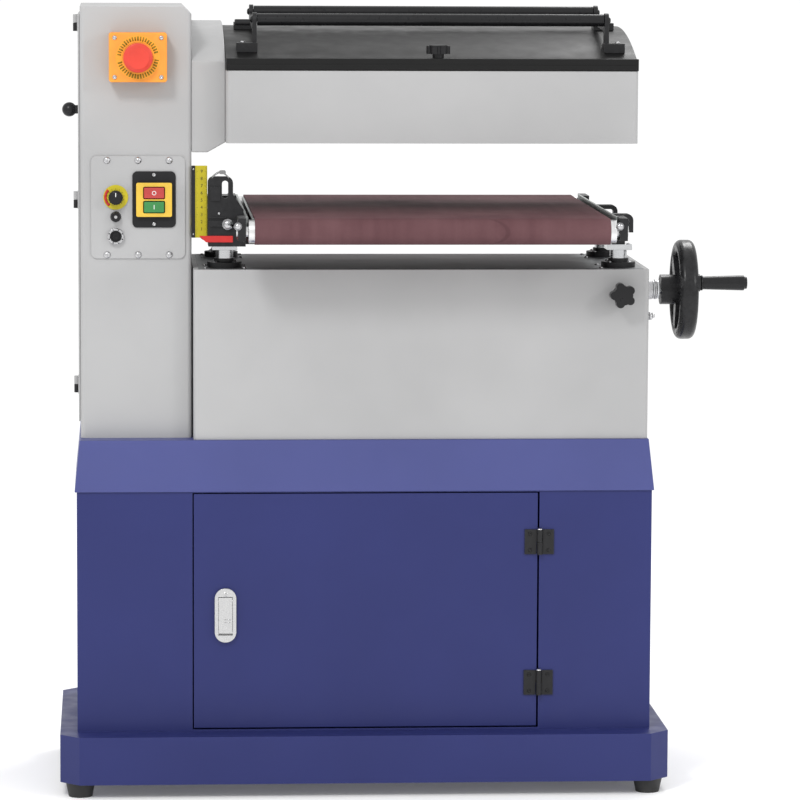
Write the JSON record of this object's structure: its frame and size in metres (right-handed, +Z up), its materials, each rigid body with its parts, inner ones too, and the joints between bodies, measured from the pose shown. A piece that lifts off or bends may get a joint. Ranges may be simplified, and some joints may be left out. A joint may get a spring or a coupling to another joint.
{
  "type": "open-ended drum sander",
  "caption": "Floor-standing open-ended drum sander: a power-fed thickness sander with a cantilevered drum head over a conveyor table on a closed cabinet stand.",
  "frame": {"origin": "on the floor, under the middle of the machine's bounding box", "axes": "+Z up, -Y towards the operator at the infeed side, +X towards the open end of the drum and the handwheel"},
  "size_m": [0.96, 0.5438, 1.094],
  "materials": {
    "blue_paint": "satin",
    "grey_paint": "satin",
    "black_paint": "satin",
    "black_plastic": "matte",
    "rubber": "matte",
    "steel": "brushed",
    "orange_plastic": "satin",
    "red_plastic": "gloss",
    "green_plastic": "gloss",
    "yellow_plate": "satin",
    "cast_aluminium": "cast",
    "abrasive": "matte",
    "black_iron": "satin"
  },
  "bodies": {
    "stand": {"plinth": "blue_paint", "rubber_feet": "rubber", "cabinet_body": "blue_paint", "cabinet_skirt": "blue_paint", "hinge_frame_leaves": "black_paint", "base_box": "grey_paint", "jack_flanges": "black_iron", "button_head_screws": "steel", "shaft_bearings": "cast_aluminium", "screw_bearing_plate": "steel", "lift_chain": "steel", "column_shell": "grey_paint", "control_plate": "grey_paint", "emergency_stop_box": "orange_plastic", "switch_plate": "black_plastic", "depth_scale": "yellow_plate", "neck": "grey_paint", "drum_housing": "grey_paint", "dust_port": "grey_paint", "drive_belt": "rubber", "drive_motor": "black_paint"},
    "cabinet_door": {"cabinet_door": "blue_paint", "cabinet_door_hinges": "black_paint", "latch_body": "steel"},
    "latch_paddle": {"latch_paddle": "steel"},
    "height_lock": {"height_lock_knob": "black_plastic"},
    "handwheel": {"handwheel": "black_iron", "handwheel_shaft": "steel"},
    "crank": {"crank_handle": "black_plastic"},
    "drive_shaft": {"lift_drive_shaft": "steel"},
    "screw_fl": {"leadscrew_front_left": "steel"},
    "screw_fr": {"leadscrew_front_right": "steel"},
    "screw_rl": {"leadscrew_rear_left": "steel"},
    "screw_rr": {"leadscrew_rear_right": "steel"},
    "side_door": {"column_side_door": "grey_paint", "side_door_knob": "black_plastic"},
    "stop_mushroom": {"emergency_stop_button": "red_plastic"},
    "stop_key": {"stop_button": "red_plastic"},
    "start_key": {"start_button": "green_plastic"},
    "speed_knob": {"speed_knob": "black_plastic"},
    "hood": {"hood": "black_paint", "return_roller_brackets": "black_paint"},
    "hood_knob": {"hood_knob": "black_plastic"},
    "return_front": {"return_roller_front": "rubber"},
    "return_rear": {"return_roller_rear": "rubber"},
    "drum": {"sanding_drum": "cast_aluminium", "abrasive_wrap": "abrasive", "drum_pulley": "black_iron"},
    "motor_rotor": {"motor_pulley": "steel"},
    "press_front": {"pressure_roller_front": "rubber"},
    "press_rear": {"pressure_roller_rear": "rubber"},
    "table": {"table_frame": "black_paint", "platen": "steel", "conveyor_belt": "abrasive", "lift_columns": "steel", "table_brackets": "black_paint", "depth_pointer": "red_plastic", "feed_gearmotor": "black_paint"},
    "belt_front": {"front_roller": "steel"},
    "belt_rear": {"rear_roller": "steel"}
  },
  "joints": [
    {"name": "cabinet_door_hinge", "type": "hinge", "parent": "stand", "child": "cabinet_door", "pos_m": [0.1886, -0.1615, 0.256], "axis": [0, 0, 1], "range_deg": [0, 110]},
    {"name": "latch_paddle_pivot", "type": "hinge", "parent": "cabinet_door", "child": "latch_paddle", "pos_m": [-0.25, -0.16, 0.271], "axis": [-1, 0, 0], "range_deg": [0, 40], "stiffness_Nm_per_rad": 0.15},
    {"name": "height_lock_turn", "type": "hinge", "parent": "stand", "child": "height_lock", "pos_m": [0.301, -0.159, 0.698], "axis": [0, 1, 0], "range_deg": [0, 270]},
    {"name": "handwheel_turn", "type": "hinge", "parent": "stand", "child": "handwheel", "pos_m": [0.399, -0.07, 0.698], "axis": [1, 0, 0], "range_deg": [-3637.7, 485.7]},
    {"name": "crank_spin", "type": "hinge", "parent": "handwheel", "child": "crank", "pos_m": [0.439, -0.12531, 0.71179], "axis": [1, 0, 0], "continuous": true},
    {"name": "table_lift", "type": "slide", "parent": "stand", "child": "table", "axis": [0, 0, 1], "range_m": [-0.012, 0.09]},
    {"name": "drive_shaft_turn", "type": "hinge", "parent": "stand", "child": "drive_shaft", "pos_m": [0.225, -0.07, 0.6], "axis": [0, 0, 1], "range_deg": [-3637.7, 485.7]},
    {"name": "screw_front_left_turn", "type": "hinge", "parent": "stand", "child": "screw_fl", "pos_m": [-0.25, -0.097, 0.6], "axis": [0, 0, 1], "range_deg": [-8100.92, 1080.56]},
    {"name": "screw_front_right_turn", "type": "hinge", "parent": "stand", "child": "screw_fr", "pos_m": [0.302, -0.097, 0.6], "axis": [0, 0, 1], "range_deg": [-8100.92, 1080.56]},
    {"name": "screw_rear_left_turn", "type": "hinge", "parent": "stand", "child": "screw_rl", "pos_m": [-0.25, 0.093, 0.6], "axis": [0, 0, 1], "range_deg": [-8100.92, 1080.56]},
    {"name": "screw_rear_right_turn", "type": "hinge", "parent": "stand", "child": "screw_rr", "pos_m": [0.302, 0.093, 0.6], "axis": [0, 0, 1], "range_deg": [-8100.92, 1080.56]},
    {"name": "side_door_hinge", "type": "hinge", "parent": "stand", "child": "side_door", "pos_m": [-0.4574, 0.123, 0.8], "axis": [0, 0, -1], "range_deg": [0, 110]},
    {"name": "emergency_stop_press", "type": "slide", "parent": "stand", "child": "stop_mushroom", "axis": [0, 1, 0], "range_m": [0, 0.006], "stiffness_N_per_m": 1500},
    {"name": "stop_press", "type": "slide", "parent": "stand", "child": "stop_key", "axis": [0, 1, 0], "range_m": [0, 0.003], "stiffness_N_per_m": 1000},
    {"name": "start_press", "type": "slide", "parent": "stand", "child": "start_key", "axis": [0, 1, 0], "range_m": [0, 0.003], "stiffness_N_per_m": 1000},
    {"name": "speed_turn", "type": "hinge", "parent": "stand", "child": "speed_knob", "pos_m": [-0.401, -0.131, 0.831], "axis": [0, 1, 0], "range_deg": [0, 270]},
    {"name": "hood_hinge", "type": "hinge", "parent": "stand", "child": "hood", "pos_m": [0.045, 0.1625, 1.011], "axis": [-1, 0, 0], "range_deg": [0, 75]},
    {"name": "hood_knob_turn", "type": "hinge", "parent": "hood", "child": "hood_knob", "pos_m": [0.045, -0.129, 1.03], "axis": [0, 0, 1], "range_deg": [0, 720]},
    {"name": "return_front_spin", "type": "hinge", "parent": "hood", "child": "return_front", "pos_m": [0.035, -0.08, 1.076], "axis": [1, 0, 0], "continuous": true},
    {"name": "return_rear_spin", "type": "hinge", "parent": "hood", "child": "return_rear", "pos_m": [0.035, 0.058, 1.084], "axis": [1, 0, 0], "continuous": true},
    {"name": "drum_spin", "type": "hinge", "parent": "stand", "child": "drum", "pos_m": [0.027, 0.008, 0.967], "axis": [1, 0, 0], "continuous": true},
    {"name": "motor_spin", "type": "hinge", "parent": "stand", "child": "motor_rotor", "pos_m": [-0.373, 0, 0.3], "axis": [1, 0, 0], "continuous": true},
    {"name": "press_front_spin", "type": "hinge", "parent": "stand", "child": "press_front", "pos_m": [0.027, -0.084, 0.918], "axis": [1, 0, 0], "continuous": true},
    {"name": "press_rear_spin", "type": "hinge", "parent": "stand", "child": "press_rear", "pos_m": [0.027, 0.1, 0.918], "axis": [1, 0, 0], "continuous": true},
    {"name": "belt_rear_spin", "type": "hinge", "parent": "table", "child": "belt_rear", "pos_m": [0.029, 0.254, 0.793], "axis": [1, 0, 0], "continuous": true},
    {"name": "belt_front_spin", "type": "hinge", "parent": "table", "child": "belt_front", "pos_m": [0.029, -0.254, 0.793], "axis": [1, 0, 0], "continuous": true}
  ],
  "couplings": [
    {"joint": "handwheel_turn", "follows": "table_lift", "rad_per_m": -705.26},
    {"joint": "drive_shaft_turn", "follows": "table_lift", "rad_per_m": -705.26},
    {"joint": "screw_front_left_turn", "follows": "table_lift", "rad_per_m": -1570.8},
    {"joint": "screw_front_right_turn", "follows": "table_lift", "rad_per_m": -1570.8},
    {"joint": "screw_rear_left_turn", "follows": "table_lift", "rad_per_m": -1570.8},
    {"joint": "screw_rear_right_turn", "follows": "table_lift", "rad_per_m": -1570.8},
    {"joint": "motor_spin", "follows": "drum_spin", "ratio": 1.3214},
    {"joint": "belt_front_spin", "follows": "belt_rear_spin", "ratio": 1}
  ]
}
